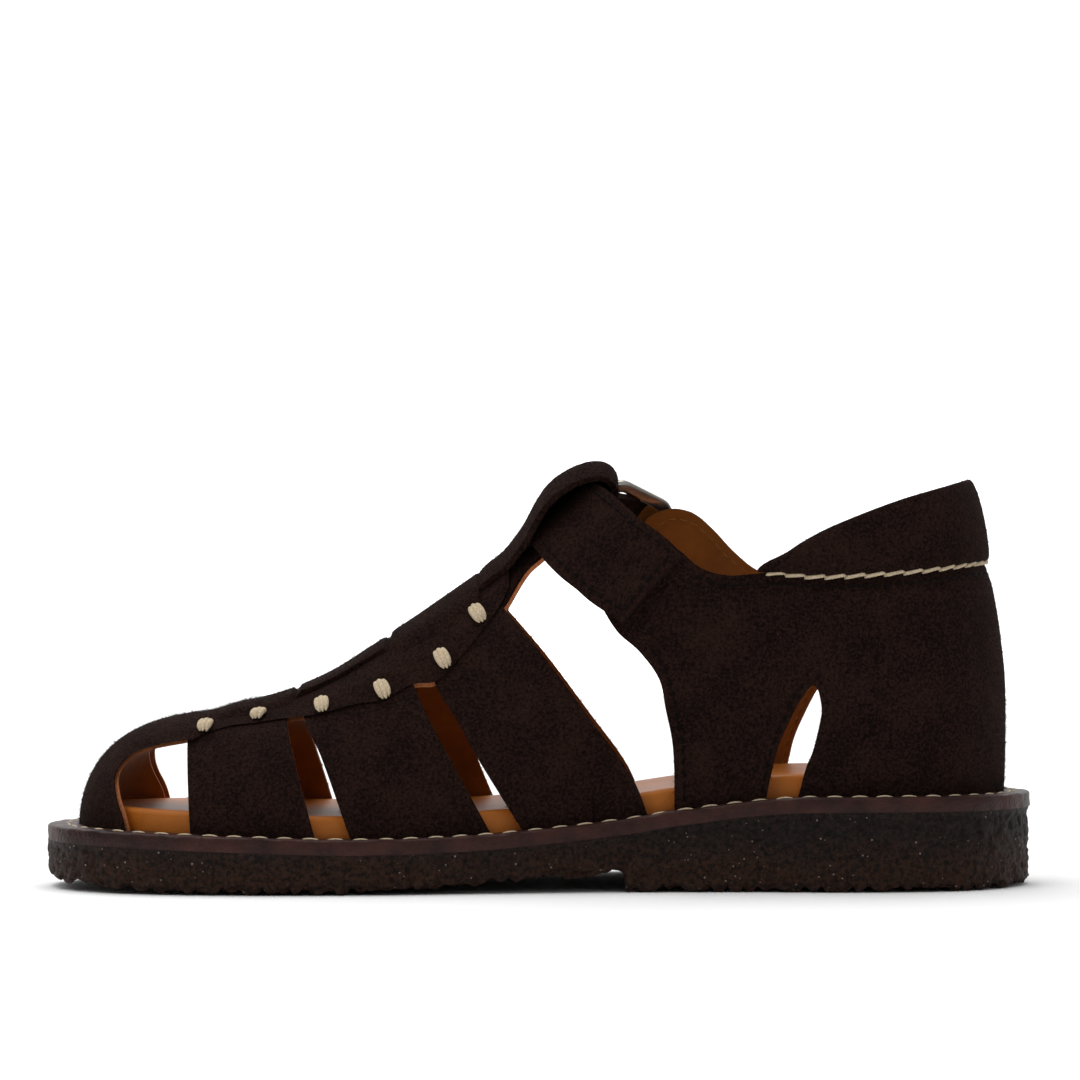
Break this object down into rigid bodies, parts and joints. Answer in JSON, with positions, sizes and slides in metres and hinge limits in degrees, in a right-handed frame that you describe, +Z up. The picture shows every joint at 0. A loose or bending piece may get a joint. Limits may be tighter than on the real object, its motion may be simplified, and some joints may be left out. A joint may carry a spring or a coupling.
{
  "type": "fisherman sandal",
  "caption": "Child's closed-toe fisherman sandal with woven T-bar, side straps, buckled ankle strap, padded heel collar and crepe sole.",
  "frame": {"origin": "centre of the bounding box on the floor", "axes": "+Z up, +X from toe to heel, -Y the medial side, +Y the lateral side"},
  "size_m": [0.2, 0.0783, 0.0867],
  "materials": {
    "suede": "napped dark espresso brown suede",
    "footbed_leather": "smooth tan vegetable-tanned leather",
    "welt_leather": "waxed dark reddish brown leather",
    "crepe_rubber": "dark crumbly natural crepe",
    "steel": "satin nickel-plated steel"
  },
  "bodies": {
    "root": {"outsole": "crepe_rubber", "welt": "welt_leather", "footbed": "footbed_leather", "upper": "suede", "heel_collar": "suede", "ankle_strap": "suede", "t_strap": "suede", "buckle_frame": "steel", "buckle_prong": "steel", "buckle_tab": "suede", "strap_keeper": "suede"}
  },
  "joints": []
}
